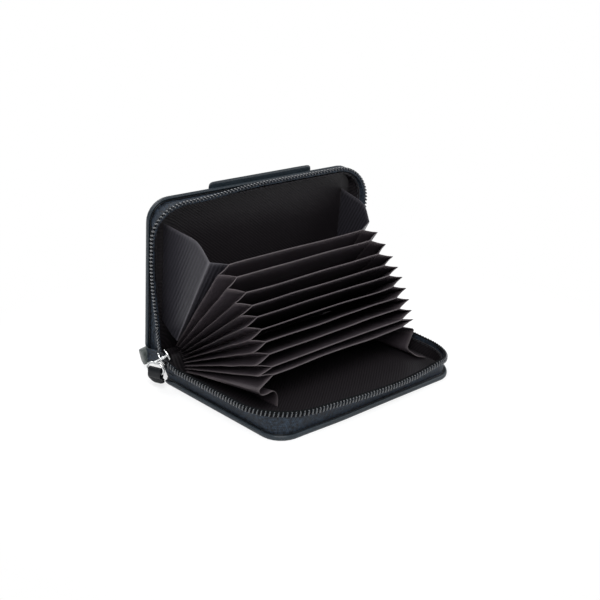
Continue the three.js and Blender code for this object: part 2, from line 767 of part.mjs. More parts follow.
// Pull tab: a leather loop round the ring's lower bar, with a neck that widens into the tab
function pullTab() {
  const tabLength = sliderHeight + ringRest - ringHeight + ringWire - tableGap;
  const hole = ringWire / 2 + fitGap;
  const radius = tabThick / 2;
  const loop = new THREE.Shape();
  loop.absarc(0, 0, radius, 0, Math.PI * 2, false);
  const eye = new THREE.Path();
  eye.absarc(0, 0, hole, 0, Math.PI * 2, true);
  loop.holes.push(eye);
  const collar = new THREE.ExtrudeGeometry(loop, { depth: tabNeck, bevelEnabled: false, curveSegments: 8 });
  collar.translate(0, 0, -tabNeck / 2).rotateX(Math.PI / 2);
  const body = new THREE.Shape();
  const half = tabWidth / 2;
  const neckTop = -(radius + hole) / 2;
  body.moveTo(-tabNeck / 2, neckTop);
  body.lineTo(-half, neckTop - tabCorner);
  body.lineTo(-half, -tabLength + tabCorner);
  body.absarc(-half + tabCorner, -tabLength + tabCorner, tabCorner, Math.PI, Math.PI * 1.5, false);
  body.absarc(half - tabCorner, -tabLength + tabCorner, tabCorner, Math.PI * 1.5, Math.PI * 2, false);
  body.lineTo(half, neckTop - tabCorner);
  body.lineTo(tabNeck / 2, neckTop);
  const blade = alongX(body, tabBlade);
  return join(collar, blade);
}

const tabGroup = new THREE.Group();
tabGroup.position.z = -(ringHeight - ringWire);
addPart(tabGroup, 'pull_tab', pullTab(), leather);
ringGroup.add(tabGroup);
sliderGroup.add(ringGroup);
holder.add(sliderGroup);

// Tape ends that run from the lowered walls to the two flanks of the slider
function tapeEnds() {
  const beside = 2 * fitGap;
  const bend = sliderNose / 2;
  const onSlider = (side, out, along) => {
    const y = side * (out + beside);
    return new THREE.Vector3(
      sliderMiddle.x,
      sliderMiddle.y + y * Math.cos(sliderTurn) - along * Math.sin(sliderTurn),
      sliderMiddle.z + y * Math.sin(sliderTurn) + along * Math.cos(sliderTurn),
    );
  };
  const narrow = (side) => onSlider(side, bend, bend - sliderLength / 2);
  const wide = (side) => onSlider(side, sliderWidth / 2, sliderLength / 2 - sliderCorner);
  const wallAt = (distance, level) => new THREE.Vector3(
    coverWidth / 2 - wallInset - tapeThick / 2 + level * level * splaySide,
    rear - distance,
    THREE.MathUtils.lerp(wallBase, tapeTop, level) + beside,
  );
  const onLower = (distance, level) => wallAt(distance, level).multiply(new THREE.Vector3(-1, 1, 1));
  const onUpper = (distance, level) => upperTray.localToWorld(wallAt(distance, level));
  const lower = sheet([
    [onLower(wallStart, notchLevel), onLower(notchEnd(-1), notchLevel)],
    [narrow(-1), wide(-1)],
  ], tapeThick / 2);
  const upper = sheet([
    [onUpper(notchEnd(1), notchLevel), onUpper(notchEnd(1) + notchRamp, 1)],
    [narrow(1), wide(1)],
  ], tapeThick / 2);
  return { lower, upper };
}

const ends = tapeEnds();
addPart(holder, 'lower_tape_end', ends.lower, woven);
addPart(holder, 'upper_tape_end', ends.upper, woven);

export default holder;
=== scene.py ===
"""Looks of the zip-around accordion card holder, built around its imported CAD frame.

Lengths in this file are millimetres, as in the part's source, and turn into metres when a mesh is
made. +X runs along the spine, +Y from the mouth to the spine, +Z up. A tray is shaped lying on its
outer face and then put in its place. Its hand is -1 for the lower tray and 1 for the upper one.
"""
import math

import bmesh
import bpy
import numpy as np
from mathutils import Matrix, Vector


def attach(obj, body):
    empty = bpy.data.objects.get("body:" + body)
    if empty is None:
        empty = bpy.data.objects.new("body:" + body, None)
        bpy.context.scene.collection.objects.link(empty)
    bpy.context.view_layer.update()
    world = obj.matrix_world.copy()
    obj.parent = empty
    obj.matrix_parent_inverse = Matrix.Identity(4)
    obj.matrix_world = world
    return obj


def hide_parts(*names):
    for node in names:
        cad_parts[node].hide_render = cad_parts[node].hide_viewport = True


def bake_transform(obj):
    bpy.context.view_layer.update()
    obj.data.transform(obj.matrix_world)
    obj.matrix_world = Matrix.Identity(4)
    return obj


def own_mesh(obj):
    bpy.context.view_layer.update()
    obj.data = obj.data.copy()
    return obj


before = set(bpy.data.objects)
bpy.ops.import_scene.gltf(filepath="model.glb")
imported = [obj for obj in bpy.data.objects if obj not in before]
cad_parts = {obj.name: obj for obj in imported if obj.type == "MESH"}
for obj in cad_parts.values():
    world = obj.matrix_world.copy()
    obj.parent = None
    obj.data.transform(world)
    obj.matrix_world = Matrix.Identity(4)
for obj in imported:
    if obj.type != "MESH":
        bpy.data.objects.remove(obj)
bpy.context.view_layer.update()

MM = 0.001
UP = np.array([0, 0, 1.0])

# Sizes repeated from the part's source
WIDTH, DEPTH = 108, 73.4
LEATHER, BOARD_THICK, LINING, TAPE = 1, 0.7, 0.4, 0.9
LAYER_GAP, FIT_GAP = 0.15, 0.3
CLOSED, FLOOR_INSET = 20.4, 4.0
WALL_END = 8.5
NOTCH, NOTCH_RAMP, NOTCH_LEVEL = {-1: 7, 1: 13}, 5, 0.4
LEAF_WIDTH, LEAF_LENGTH, LEAF_THICK, LEAF_PITCH = 77, 50, 0.45, 1.25
CREASE_X, GUSSET, GUSSET_SEAT = 45.7, 0.3, 0.22
OPEN, TWIST, COIN_ANGLE = math.radians(84.7), math.radians(-6), 14.6
POCKET_ANGLES = [2.2, 4.4, 4.3, 4.5, 4.5, 4.2, 5.2, 7, 5.9]
FIRST_LIFT = 1.2
REAR = DEPTH / 2
WALL_BASE = LEATHER + LAYER_GAP
LINING_BASE = WALL_BASE + BOARD_THICK + LAYER_GAP
FLOOR_TOP = LINING_BASE + LINING
COVER_PIVOT = (REAR - 2.8, 7.2)
COIN_PIVOT = (REAR - 4.1, 3.375)
SLIDER = np.array([-WIDTH / 2 - 1.5, REAR - 2.9, 11.7])
PULL_TURN = math.radians(20)
RING_AT = np.array([-WIDTH / 2 - 5.7, REAR - 2.9, 11.6])

# Round corners of the covers: at the front beside the slider, at the front on the other side, and at
# the spine. Both front corners of the upper cover are alike
COVER_CORNER, FAR_CORNER, SPINE_CORNER = 9.5, {-1: 14.5, 1: 9.5}, {-1: 2, 1: 7}

# How far the free edges of the trays run aslant: on the lower tray the right side and its front corner
# are drawn in and the front comes forward towards the right, on the upper tray the edge rises to the right
SIDE_IN, CORNER_IN, FRONT_OUT, FRONT_SLANT, UPPER_SLANT = 2.4, 2.4, 1.5, 2.0, 1.2

# The soft zip wall as it stands in the photograph, on the lower tray (-1) and on the upper one (1):
# where its foot runs; the height of its top edge; how far that edge leans out beside the slider, at the
# mouth and on the other side; the radius of its two corners; how far it bows out and sinks at the mouth;
# how far it is drawn in towards the slider and at the near end of the mouth, and drops on the other side
WALL_INSET, WALL_START = 1.9, {-1: 1, 1: 2}
RIM = {-1: 11.0, 1: 9.0}
SPLAY = {-1: (4.0, 3.6, 1.8), 1: (3.4, 3.3, 4.7)}
RIM_CORNER = {-1: (22, 21), 1: (17, 18)}
BOW, SINK = {-1: 0.5, 1: 0}, {-1: 1.9, 1: 0}
DRAWN_IN, MOUTH_IN, SIDE_DROP = {-1: 0, 1: 4}, {-1: 0, 1: 2.4}, {-1: 2, 1: 0}
LEAN = 1.35
LINING_LEVEL = 0.8

# The coil of the zip: pitch, size of one turn along, out from and up the tape, and its place out from and
# over the rim; then how far behind and below it lies the near-black strip of painted shade for the gaps
# between the turns, and half that strip's width and height
TOOTH_PITCH, TOOTH, TOOTH_SLANT = 1.65, (0.85, 1.2, 2.3), 0.2
COIL_AT = {-1: (0.4, -0.9), 1: (0.15, -0.4)}
SHADE_BEHIND, SHADE_DROP, SHADE_WIDE, SHADE_TALL = 0.7, {-1: 0, 1: 0.75}, 0.65, {-1: 1.25, 1: 0.65}

# A stitch of the seams: its thinning towards both ends, where it dives into the cloth
STITCH_TAPER = np.array([0.4, 0.9, 1, 0.9, 0.4])

# Axes of the slider: out of its outer plate, towards its wide end and towards the upper tape
SLIDER_OUT = np.array([-0.748, 0.457, -0.482])
SLIDER_MOUTH = np.array([-0.643, -0.68, 0.352])
SLIDER_UP = np.array([-0.167, 0.573, 0.803])
SLIDER_SHIFT = np.array([0.8, 0, 1.2])

# Place of the leather end tab, out from the cover's side
END_TAB_OUT = 0.6


def lerp(a, b, t):
    return a + (b - a) * t


def ease(t):
    t = np.clip(t, 0, 1)
    return t * t * (3 - 2 * t)


def unit(vectors):
    return vectors / np.maximum(np.linalg.norm(vectors, axis=-1, keepdims=True), 1e-9)


def stacked(*coordinates):
    """Points from their coordinates, each an array or one number for all."""
    return np.stack(np.broadcast_arrays(*coordinates), -1)


def around(count):
    """Angles of equal steps once around."""
    return np.arange(count) * 2 * math.pi / count


def blunt(values, power):
    """Sines or cosines raised to a power with their signs kept, which squares up a round section."""
    return np.sign(values) * np.abs(values) ** power


def ripple(points, scale, seed):
    """A smooth, seeded unevenness between about -1 and 1 at each point."""
    rng = np.random.default_rng(seed)
    total = np.zeros(points.shape[:-1])
    for octave in range(3):
        for _ in range(3):
            direction = rng.normal(size=3)
            direction *= (1.7 ** octave) / (scale * np.linalg.norm(direction))
            phase = rng.uniform(0, 2 * math.pi)
            total += np.sin(points @ direction * 2 * math.pi + phase) / (3 * 1.6 ** octave)
    return total


# Frames of the two trays and of the leaves
def askew(points, hand):
    """The soft trays do not lie quite square: their free edges run a little aslant."""
    p = np.array(points, float)
    right, reach = -hand * p[..., 0], (REAR - p[..., 1]) / DEPTH
    if hand < 0:
        side = SIDE_IN * np.clip(right / (WIDTH / 2), 0, 1) * reach
        p[..., 0] -= side + CORNER_IN * ease((right - 30) / 24) * ease(reach * 2 - 1)
        slant = FRONT_SLANT * np.clip((right + 25) / 79, 0, 1) ** 1.3
        p[..., 1] -= (FRONT_OUT * ease((right + 48) / 30) + slant) * reach
    else:
        p[..., 1] -= UPPER_SLANT * right / (WIDTH / 2) * reach
    return p


def to_lower(points):
    return askew(points, -1)


def to_upper(points):
    """From the upper tray's own frame, outer face down, to its place in the open holder."""
    p = askew(points, 1)
    y = p[..., 1] - COVER_PIVOT[0]
    z = CLOSED - p[..., 2] - COVER_PIVOT[1]
    back = y * math.cos(OPEN) + z * math.sin(OPEN)
    return stacked(-p[..., 0] * math.cos(TWIST) - back * math.sin(TWIST),
                   COVER_PIVOT[0] - p[..., 0] * math.sin(TWIST) + back * math.cos(TWIST),
                   COVER_PIVOT[1] - y * math.sin(OPEN) + z * math.cos(OPEN))


TRAYS = {"lower": (-1, to_lower), "upper": (1, to_upper)}


def leaf_frames():
    """Root and angle of every leaf, lowest first."""
    roots, angles = [np.array(COIN_PIVOT)], [COIN_ANGLE]
    for k, angle in enumerate(POCKET_ANGLES):
        step = (FIRST_LIFT if k == 0 else LEAF_PITCH / 2) + LEAF_PITCH / 2
        turn = math.radians(angles[-1])
        roots.append(roots[-1] + step * np.array([math.sin(turn), math.cos(turn)]))
        angles.append(angles[-1] + angle)
    return roots, [math.radians(a) for a in angles]


ROOTS, ANGLES = leaf_frames()
LEAVES = len(ANGLES)


def on_leaf(k, x, distance, height=0.0):
    """A point beside leaf k (from 1), by its distance from the root and height over the leaf."""
    turn, root = ANGLES[k - 1], ROOTS[k - 1]
    lift = (FIRST_LIFT if k == 1 else LEAF_PITCH / 2) + height
    return stacked(x, root[0] - distance * math.cos(turn) + lift * math.sin(turn),
                   root[1] + distance * math.sin(turn) + lift * math.cos(turn))


# Paths
def path_length(path):
    return np.linalg.norm(np.diff(path, axis=0), axis=-1).sum()


def resample(path, places):
    """Points at given distances along a path."""
    steps = np.linalg.norm(np.diff(path, axis=0), axis=-1)
    far = np.concatenate([[0], np.cumsum(steps)])
    return np.stack([np.interp(places, far, path[:, i]) for i in range(path.shape[1])], -1)


def evenly(path, count):
    """Evenly spaced points from a path's start to its end."""
    return resample(path, np.linspace(0, path_length(path), count))


def directions(path, closed=False):
    """Unit directions along a path."""
    if closed:
        return unit(np.roll(path, -1, axis=0) - np.roll(path, 1, axis=0))
    return unit(np.gradient(path, axis=0))


def quarter_arcs(corners, steps):
    """Points of quarter circles, each given by the centre, the radius and the first angle."""
    return np.array([(x + radius * math.cos(angle), y + radius * math.sin(angle))
                     for x, y, radius, start in corners
                     for angle in np.radians(start + np.linspace(0, 90, steps))])


def smooth_line(corners, steps, rounding):
    """A polyline with its inner corners rounded, as evenly spaced points."""
    corners = np.asarray(corners, float)
    points = [corners[0]]
    for before, corner, after in zip(corners[:-2], corners[1:-1], corners[2:]):
        start, end = (corner + unit(other - corner) * min(rounding, np.linalg.norm(other - corner) * 0.45)
                      for other in (before, after))
        for t in np.linspace(0, 1, 7):
            points.append((1 - t) ** 2 * start + 2 * t * (1 - t) * corner + t * t * end)
    points.append(corners[-1])
    return evenly(np.array(points), steps)


# Mesh making
def new_object(name, data):
    obj = bpy.data.objects.new(name, data)
    bpy.context.collection.objects.link(obj)
    return obj


def make(name, verts, faces, material, sharp=40, uv=None, wear=None):
    mesh = bpy.data.meshes.new(name)
    mesh.from_pydata((np.asarray(verts) * MM).tolist(), [], [list(f) for f in faces])
    if uv is not None:
        layer = mesh.uv_layers.new(name="fabric")
        flat = np.asarray(uv)[[v for p in mesh.polygons for v in p.vertices]] * MM
        layer.data.foreach_set("uv", flat.astype(np.float32).ravel())
    if wear is not None:
        attribute = mesh.attributes.new("wear", "FLOAT", "POINT")
        attribute.data.foreach_set("value", np.asarray(wear, np.float32))
    work = bmesh.new()
    work.from_mesh(mesh)
    bmesh.ops.recalc_face_normals(work, faces=work.faces)
    work.to_mesh(mesh)
    work.free()
    mesh.polygons.foreach_set("use_smooth", [True] * len(mesh.polygons))
    mesh.set_sharp_from_angle(angle=math.radians(sharp))
    mesh.update()
    mesh.materials.append(material)
    obj = new_object(name, mesh)
    return obj


def dress(obj, body, *nodes):
    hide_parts(*nodes)
    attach(obj, body)


def grid_lengths(grid):
    """Distances along both directions of a grid, for its fabric coordinates."""
    u = np.zeros(grid.shape[:2])
    v = np.zeros(grid.shape[:2])
    u[1:] = np.cumsum(np.linalg.norm(np.diff(grid, axis=0), axis=-1), axis=0)
    v[:, 1:] = np.cumsum(np.linalg.norm(np.diff(grid, axis=1), axis=-1), axis=1)
    return np.stack([u, v], axis=-1)


def sheet_parts(grid, thickness, wear):
    """A closed sheet with rounded edges around a grid of middle points."""
    rows, cols = grid.shape[:2]
    normal = unit(np.cross(np.gradient(grid, axis=0), np.gradient(grid, axis=1)))
    half = thickness / 2
    top, bottom = grid + normal * half, grid - normal * half
    index = np.arange(rows * cols).reshape(rows, cols)
    rim = np.concatenate([index[0, :-1], index[:-1, -1], index[-1, :0:-1], index[:0:-1, 0]])
    flat = grid.reshape(-1, 3)
    inner = np.clip(np.stack(np.unravel_index(rim, (rows, cols)), -1), 1, [rows - 2, cols - 2])
    outward = unit(flat[rim] - grid[inner[:, 0], inner[:, 1]])
    edge = flat[rim] + outward * half * 0.8
    verts = np.concatenate([top.reshape(-1, 3), bottom.reshape(-1, 3), edge])
    count, first = rows * cols, 2 * rows * cols
    quads = stacked(index[:-1, :-1], index[:-1, 1:], index[1:, 1:], index[1:, :-1]).reshape(-1, 4)
    here, after = first + np.arange(len(rim)), np.roll(rim, -1)
    there = np.roll(here, -1)
    rounded = np.hstack([stacked(rim, here, there, after), stacked(here, count + rim, count + after, there)])
    faces = np.vstack([np.hstack([quads, count + quads[:, ::-1]]).reshape(-1, 4), rounded.reshape(-1, 4)])
    lengths = grid_lengths(grid).reshape(-1, 2)
    uv = np.concatenate([lengths, lengths, lengths[rim]])
    shade = np.zeros(count) if wear is None else wear.reshape(-1)
    return verts, faces, uv, np.concatenate([shade, shade, shade[rim]])


def sheet(name, grid, thickness, material, wear=None, sharp=50):
    verts, faces, uv, shade = sheet_parts(grid, thickness, wear)
    return make(name, verts, faces, material, sharp, uv, shade)


def loft_parts(sections, closed=False):
    """Faces through equal sections, each a closed loop of points, with both ends closed."""
    sections = np.asarray(sections)
    count, size = sections.shape[:2]
    index = np.arange(count * size).reshape(count, size)
    after = np.roll(index, -1, axis=1)
    quads = stacked(index, after, np.roll(after, -1, axis=0), np.roll(index, -1, axis=0))
    if closed:
        return sections.reshape(-1, 3), quads.reshape(-1, 4).tolist()
    return sections.reshape(-1, 3), [*quads[:-1].reshape(-1, 4).tolist(), index[0, ::-1], index[-1]]


def loft(name, sections, material, closed=False, sharp=50):
    verts, faces = loft_parts(sections, closed)
    lengths = grid_lengths(sections).reshape(-1, 2)
    return make(name, verts, faces, material, sharp, lengths)


def merge(parts):
    """Several vertex and face lists as one."""
    verts, faces, start = [], [], 0
    for v, f in parts:
        verts.append(np.asarray(v))
        faces += [tuple(start + i for i in face) for face in f]
        start += len(v)
    return np.concatenate(verts), faces


def tube_sections(path, radius, sides, up, closed=False):
    """Round sections along a path, with one radius or one for each point."""
    along = directions(path, closed)
    side = unit(np.cross(along, up))
    lift = np.cross(side, along)
    turn = around(sides)[None, :, None]
    radius = np.broadcast_to(np.asarray(radius, float), len(path))[:, None, None]
    return path[:, None] + radius * (np.cos(turn) * side[:, None] + np.sin(turn) * lift[:, None])


def band_sections(path, out, wide, tall, power):
    """Upright oval sections along a path, squarer the smaller the power is."""
    turn = around(20)
    across, up = blunt(np.cos(turn), power) * wide, blunt(np.sin(turn), power) * tall
    return path[:, None] + out[:, None] * across[..., None] + UP * up[..., None]


def stitches(path, starts, length, radius):
    """A row of stitches along a path."""
    parts = []
    for start in starts:
        line = resample(path, np.linspace(start, start + length, len(STITCH_TAPER)))
        parts.append(loft_parts(tube_sections(line, radius * STITCH_TAPER, 6, UP)))
    return merge(parts)


# Materials
def add_node(tree, kind, output, inputs, **settings):
    """One output of a new shader node. Each input is a socket to link, a number or a colour."""
    node = tree.nodes.new("ShaderNode" + kind)
    for key, value in settings.items():
        setattr(node, key, value)
    for key, value in inputs.items():
        if isinstance(value, bpy.types.NodeSocket):
            tree.links.new(value, node.inputs[key])
        else:
            node.inputs[key].default_value = (*value, 1) if isinstance(value, tuple) else value
    return node.outputs[output]


class Look:
    """A material and short forms for its nodes."""

    def __init__(self, name, color, roughness, **sockets):
        self.material = bpy.data.materials.new(name)
        self.material.use_nodes = True
        self.tree = self.material.node_tree
        self.shader = self.tree.nodes["Principled BSDF"]
        self.normal = None
        for key, value in {"Base_Color": (*color, 1), "Roughness": roughness, **sockets}.items():
            self.shader.inputs[key.replace("_", " ")].default_value = value

    def node(self, kind, output, inputs, **settings):
        return add_node(self.tree, kind, output, inputs, **settings)

    def place(self):
        return self.node("TexCoord", "Object", {})

    def cloth(self):
        return self.node("UVMap", "UV", {}, uv_map="fabric")

    def worn(self):
        return self.node("Attribute", "Fac", {}, attribute_name="wear")

    def math(self, operation, a, b):
        return self.node("Math", 0, {0: a, 1: b}, operation=operation)

    def noise(self, place, scale, detail):
        return self.node("TexNoise", "Fac", {"Vector": place, "Scale": scale, "Detail": detail})

    def cells(self, place, scale):
        return self.node("TexVoronoi", "Distance", {"Vector": place, "Scale": scale}, feature="SMOOTH_F1")

    def bands(self, place, scale, direction, bent=0.0):
        inputs = {"Vector": place, "Scale": scale, "Distortion": bent}
        return self.node("TexWave", "Fac", inputs, bands_direction=direction)

    def ramp(self, value, low, high):
        return self.node("MapRange", "Result", {"Value": value, "To Min": low, "To Max": high})

    def colors(self, factor, first, second):
        return self.node("Mix", 2, {"Factor": factor, 6: first, 7: second}, data_type="RGBA")

    def color(self, factor, first, second):
        self.tree.links.new(self.colors(factor, first, second), self.shader.inputs["Base Color"])

    def rough(self, value, low, high):
        self.tree.links.new(self.ramp(value, low, high), self.shader.inputs["Roughness"])

    def bump(self, value, strength, distance):
        inputs = {"Height": value, "Strength": strength, "Distance": distance}
        if self.normal is not None:
            inputs["Normal"] = self.normal
        self.normal = self.node("Bump", "Normal", inputs)
        self.tree.links.new(self.normal, self.shader.inputs["Normal"])


def leather_material(name, dark, light, roughness, pebble, depth, shine=0.45):
    look = Look(name, dark, roughness, Specular_IOR_Level=shine)
    place = look.place()
    patches = look.noise(place, 70, 4)
    grain = look.cells(place, pebble)
    look.color(look.math("MULTIPLY", patches, grain), dark, light)
    look.rough(patches, roughness - 0.1, roughness + 0.12)
    look.bump(grain, 0.55, depth)
    look.bump(look.noise(place, pebble * 3, 3), 0.25, depth * 0.4)
    return look.material


def leatherette_material(dark, light, fold):
    look = Look("leatherette", dark, 0.55, Specular_IOR_Level=0.25)
    place = look.place()
    patches = look.noise(place, 120, 3)
    uneven = look.math("MULTIPLY", look.worn(), look.ramp(look.noise(place, 420, 3), 0.35, 1.3))
    look.color(uneven, look.colors(patches, dark, light), fold)
    look.rough(patches, 0.5, 0.66)
    look.bump(look.noise(place, 2600, 2), 0.3, 0.00008)
    return look.material


def satin_material(name, dark, light, fold, along, across):
    """Cloth with ribs along one fabric direction and threads along the other."""
    look = Look(name, dark, 0.55, Specular_IOR_Level=0.3)
    cloth = look.cloth()
    ribs = look.bands(cloth, 190, along, 0.6)
    look.color(look.worn(), look.colors(ribs, dark, light), fold)
    look.rough(ribs, 0.42, 0.6)
    look.bump(ribs, 0.5, 0.00012)
    look.bump(look.bands(cloth, 700, across), 0.2, 0.00004)
    return look.material


def tape_material(dark, light):
    look = Look("zip_tape", dark, 0.7, Specular_IOR_Level=0.35)
    cloth = look.cloth()
    weave = look.math("MAXIMUM", look.bands(cloth, 420, "X"), look.bands(cloth, 420, "Y"))
    patches = look.noise(look.place(), 900, 3)
    look.color(look.math("MULTIPLY", weave, look.ramp(patches, -1.2, 2.1)), dark, light)
    look.rough(patches, 0.6, 0.8)
    look.bump(weave, 0.5, 0.0001)
    look.bump(patches, 0.5, 0.0004)
    return look.material


def speckled_material(name, dark, light, roughness, speckle, grain, polish=None, **sockets):
    """Speckles given by scale and detail, under a bump given by scale, detail, strength and depth. The
    roughness follows the speckles where polish gives its range."""
    look = Look(name, dark, roughness, **sockets)
    place = look.place()
    speckles = look.noise(place, *speckle)
    look.color(speckles, dark, light)
    if polish:
        look.rough(speckles, *polish)
    scale, detail, strength, depth = grain
    look.bump(look.noise(place, scale, detail), strength, depth)
    return look.material


def thread_material(dark, light):
    look = Look("thread", dark, 0.6)
    place = look.place()
    look.color(look.noise(place, 2500, 2), dark, light)
    look.bump(look.bands(place, 2200, "DIAGONAL"), 0.4, 0.00006)
    return look.material


def floor_material():
    """Pale ground whose far part shows as plain white, while the part under the holder keeps its shadow."""
    look = Look("floor", (0.95, 0.95, 0.95), 0.8, Specular_IOR_Level=0.1)
    distance = look.node("VectorMath", "Value", {0: look.place()}, operation="LENGTH")
    fade = {"Value": distance, "From Min": 0.05, "From Max": 0.17, "To Min": 0.6}
    far = look.node("MapRange", "Result", fade, interpolation_type="SMOOTHSTEP")
    direct, through = (look.node("LightPath", f"Is {ray} Ray", {}) for ray in ("Camera", "Transmission"))
    seen = look.math("MAXIMUM", direct, through)
    white = look.node("Emission", "Emission", {})
    mixed = look.node("MixShader", "Shader", {
        "Fac": look.math("MULTIPLY", far, seen), 1: look.shader.outputs["BSDF"], 2: white})
    look.tree.links.new(mixed, look.tree.nodes["Material Output"].inputs["Surface"])
    return look.material


BLACK = leather_material("black_leather", (0.004, 0.008, 0.0122), (0.012, 0.026, 0.038), 0.46, 1150, 0.00016)
SMOOTH = leather_material("smooth_leather", (0.003, 0.0035, 0.0045), (0.008, 0.009, 0.011), 0.26, 1900,
                          0.00006, 0.22)
GREY = leather_material("end_leather", (0.035, 0.042, 0.04), (0.11, 0.125, 0.12), 0.42, 1500, 0.0001)
LEATHERETTE = leatherette_material((0.0215, 0.0175, 0.0205), (0.043, 0.034, 0.04), (0.125, 0.108, 0.112))
SATIN = satin_material("lining_satin", (0.0042, 0.0034, 0.0043), (0.0102, 0.008, 0.0097),
                       (0.04, 0.035, 0.04), "X", "Y")
NOTE_SATIN = satin_material("note_satin", (0.011, 0.0105, 0.0135), (0.026, 0.0245, 0.031),
                            (0.09, 0.085, 0.095), "Y", "X")
TAPE_CLOTH = tape_material((0.0005, 0.0018, 0.0045), (0.019, 0.033, 0.053))
TEETH = speckled_material("zip_teeth", (0.006, 0.0075, 0.01), (0.02, 0.024, 0.03), 0.2, (300, 2),
                          (1500, 2, 0.15, 0.00005), Coat_Weight=0.6, Coat_Roughness=0.1)
# Near-black and dull: painted shade for the gaps between the zip's coil turns, not a material of the holder
PAINTED_SHADE = Look("coil_painted_shade", (0.002, 0.0024, 0.003), 0.9, Specular_IOR_Level=0.1).material
METAL = speckled_material("zip_metal", (0.42, 0.43, 0.43), (0.7, 0.71, 0.71), 0.2, (500, 4),
                          (900, 3, 0.08, 0.00005), (0.12, 0.3), Metallic=1.0)
THREAD = thread_material((0.005, 0.006, 0.008), (0.014, 0.016, 0.02))
BOARD = speckled_material("board", (0.3, 0.25, 0.2), (0.4, 0.35, 0.28), 0.9, (900, 3),
                          (2000, 2, 0.2, 0.00005))


# Camera, worked out from the photograph, and the studio around the holder
def add_camera():
    azimuth, elevation, roll = (math.radians(a) for a in (-43.37, 20.63, 1.108))
    place = Vector((-266.94, -272.04, 177.97))
    focal_pixels, photo_pixels, sensor = 966.6, 600, 36
    data = bpy.data.cameras.new("camera")
    data.sensor_width = sensor
    data.lens = focal_pixels / photo_pixels * sensor
    data.clip_start = 0.01
    camera = new_object("camera", data)
    pose = Matrix.Translation(place * MM)
    for angle, axis in ((azimuth, "Z"), (math.pi / 2 - elevation, "X"), (roll, "Z")):
        pose = pose @ Matrix.Rotation(angle, 4, axis)
    camera.matrix_world = pose
    bpy.context.scene.camera = camera


def add_lamp(name, place, target, size, power):
    data = bpy.data.lights.new(name, "AREA")
    data.shape = "RECTANGLE"
    data.size, data.size_y = size
    data.energy = power
    lamp = new_object(name, data)
    lamp.location = place
    lamp.rotation_euler = (Vector(target) - Vector(place)).to_track_quat("-Z", "Y").to_euler()


def add_world():
    """Even light from all around, and plain white where the camera looks past the floor."""
    world = bpy.data.worlds.new("studio")
    bpy.context.scene.world = world
    world.use_nodes = True
    tree = world.node_tree
    light = add_node(tree, "Background", 0, {"Color": (0.93, 0.96, 1), "Strength": 0.45})
    white = add_node(tree, "Background", 0, {"Color": (1, 1, 1)})
    seen = add_node(tree, "LightPath", "Is Camera Ray", {})
    mixed = add_node(tree, "MixShader", 0, {"Fac": seen, 1: light, 2: white})
    tree.links.new(mixed, tree.nodes["World Output"].inputs["Surface"])


def add_floor():
    half = 3.0
    corners = [(-half, -half, 0), (half, -half, 0), (half, half, 0), (-half, half, 0)]
    mesh = bpy.data.meshes.new("floor")
    mesh.from_pydata(corners, [], [(0, 1, 2, 3)])
    mesh.materials.append(floor_material())
    new_object("floor", mesh)


def add_studio():
    """Places, sizes and powers of the lamps are in metres and watts."""
    bpy.context.scene.view_settings.view_transform = "Standard"
    add_world()
    add_floor()
    add_lamp("key", (-0.55, -0.5, 0.85), (0, 0, 0.03), (0.7, 0.7), 11)
    add_lamp("fill", (0.75, -0.45, 0.6), (0, 0, 0.03), (0.8, 0.6), 5)
    add_lamp("rim", (-0.1, 0.75, 0.8), (0, 0, 0.04), (0.9, 0.5), 6)


# Outlines of a tray
def plate_outline(hand, inset, setback):
    """The closed outline of a plate, with evenly spaced points."""
    half, front, back = WIDTH / 2 - inset, DEPTH / 2 - inset, REAR - setback
    near, far, spine = COVER_CORNER - inset, FAR_CORNER[hand] - inset, SPINE_CORNER[hand]
    corners = [(half - far, -front + far, far, -90), (half - spine, back - spine, spine, 0),
               (-half + spine, back - spine, spine, 90), (-half + near, -front + near, near, 180)]
    loop = quarter_arcs(corners, 14)
    return evenly(np.vstack([loop, loop[:1]]), 161)[:-1]


# Stations along a side, a corner and the mouth of a wall
SIDE, CORNER, FRONT = 30, 18, 40


def wall_stations():
    """Which stretch of the wall each station is on, 0 beside the slider, 1 and 3 the corners, 2 the mouth
    and 4 the other side, and its share of the way along it, which grows towards the mouth on both sides."""
    side, corner, front = (np.linspace(0, 1, n) for n in (SIDE, CORNER, FRONT))
    kinds, shares = [], []
    for kind, values in enumerate((side, corner[1:], front[1:], corner[::-1][1:], side[::-1][1:])):
        kinds += [kind] * len(values)
        shares += list(values)
    return np.array(kinds), np.array(shares)


